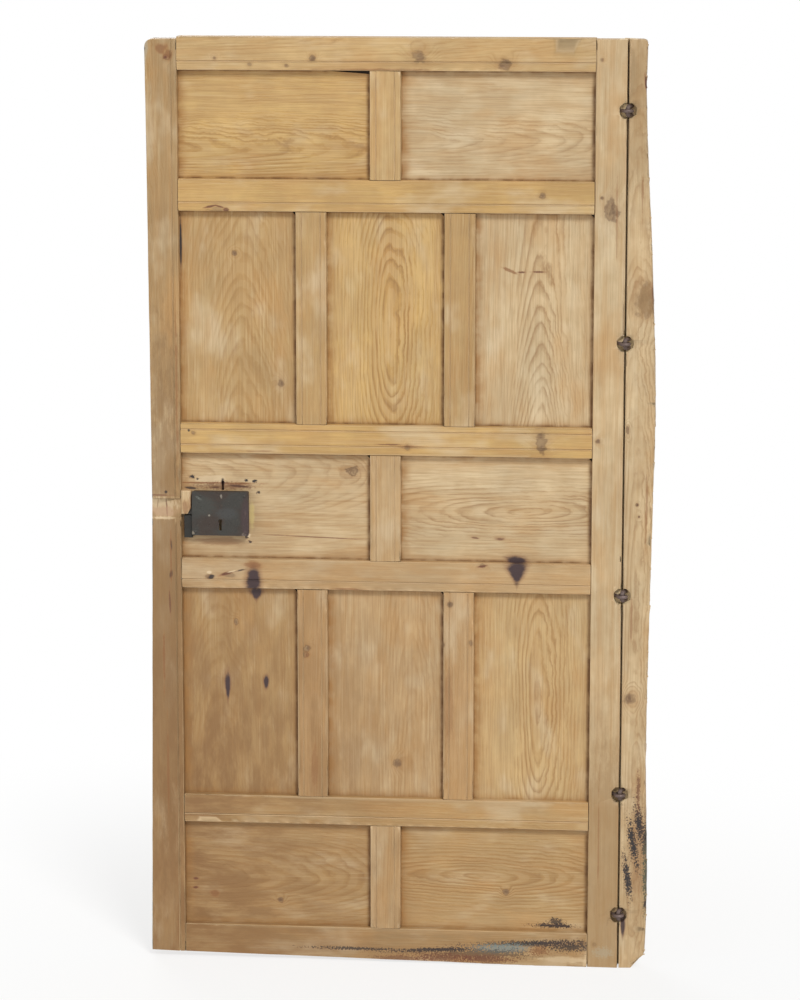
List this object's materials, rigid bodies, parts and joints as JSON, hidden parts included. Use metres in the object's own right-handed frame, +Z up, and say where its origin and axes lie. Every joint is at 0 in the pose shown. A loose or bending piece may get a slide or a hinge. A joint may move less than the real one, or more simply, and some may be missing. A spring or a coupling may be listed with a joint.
{
  "type": "panel door",
  "caption": "Stripped pine door leaf with flat recessed panels, hung on a narrow hewn post by interlocked iron eyes, with a nailed-on iron lock and sliding bolt.",
  "frame": {"origin": "bottom centre of the bounding box of leaf and post together, with the leaf closed", "axes": "+X along the face towards the hanging post, +Y from the front face backwards, +Z up"},
  "size_m": [1.0695, 0.0678, 1.971],
  "materials": {
    "pine_frame": "stripped and waxed pine",
    "pine_panels": "stripped and waxed pine",
    "hewn_post": "hewn pine, stripped and waxed",
    "forged_iron": "forged iron with old rust"
  },
  "bodies": {
    "post": {"hanging_post": "hewn_post", "post_eye_1": "forged_iron", "post_eye_2": "forged_iron", "post_eye_3": "forged_iron", "post_eye_4": "forged_iron", "post_eye_5": "forged_iron"},
    "leaf": {"bolt_staples": "forged_iron", "bottom_rail": "pine_frame", "filler_block": "pine_frame", "hinge_stile": "pine_frame", "leaf_eye_1": "forged_iron", "leaf_eye_2": "forged_iron", "leaf_eye_3": "forged_iron", "leaf_eye_4": "forged_iron", "leaf_eye_5": "forged_iron", "lock_nails": "forged_iron", "lock_plate": "forged_iron", "lock_rim": "forged_iron", "lock_spring": "forged_iron", "lock_stile": "pine_frame", "lock_ward": "forged_iron", "lower_rail": "pine_frame", "muntin_row1": "pine_frame", "muntin_row2_left": "pine_frame", "muntin_row2_right": "pine_frame", "muntin_row3": "pine_frame", "muntin_row4_left": "pine_frame", "muntin_row4_right": "pine_frame", "muntin_row5": "pine_frame", "panel_row1_left": "pine_panels", "panel_row1_right": "pine_panels", "panel_row2_left": "pine_panels", "panel_row2_middle": "pine_panels", "panel_row2_right": "pine_panels", "panel_row3_left": "pine_panels", "panel_row3_right": "pine_panels", "panel_row4_left": "pine_panels", "panel_row4_middle": "pine_panels", "panel_row4_right": "pine_panels", "panel_row5_left": "pine_panels", "panel_row5_right": "pine_panels", "rail_above_lock": "pine_frame", "rail_below_lock": "pine_frame", "side_lug": "forged_iron", "top_rail": "pine_frame", "upper_rail": "pine_frame"},
    "bolt": {"lock_bolt": "forged_iron"}
  },
  "joints": [
    {"name": "leaf_swing", "type": "hinge", "parent": "post", "child": "leaf", "pos_m": [0.46905, -0.0214, 0.9855], "axis": [0, 0, 1], "range_deg": [0, 170]},
    {"name": "bolt_throw", "type": "slide", "parent": "leaf", "child": "bolt", "axis": [-1, 0, 0], "range_m": [0, 0.02]}
  ]
}
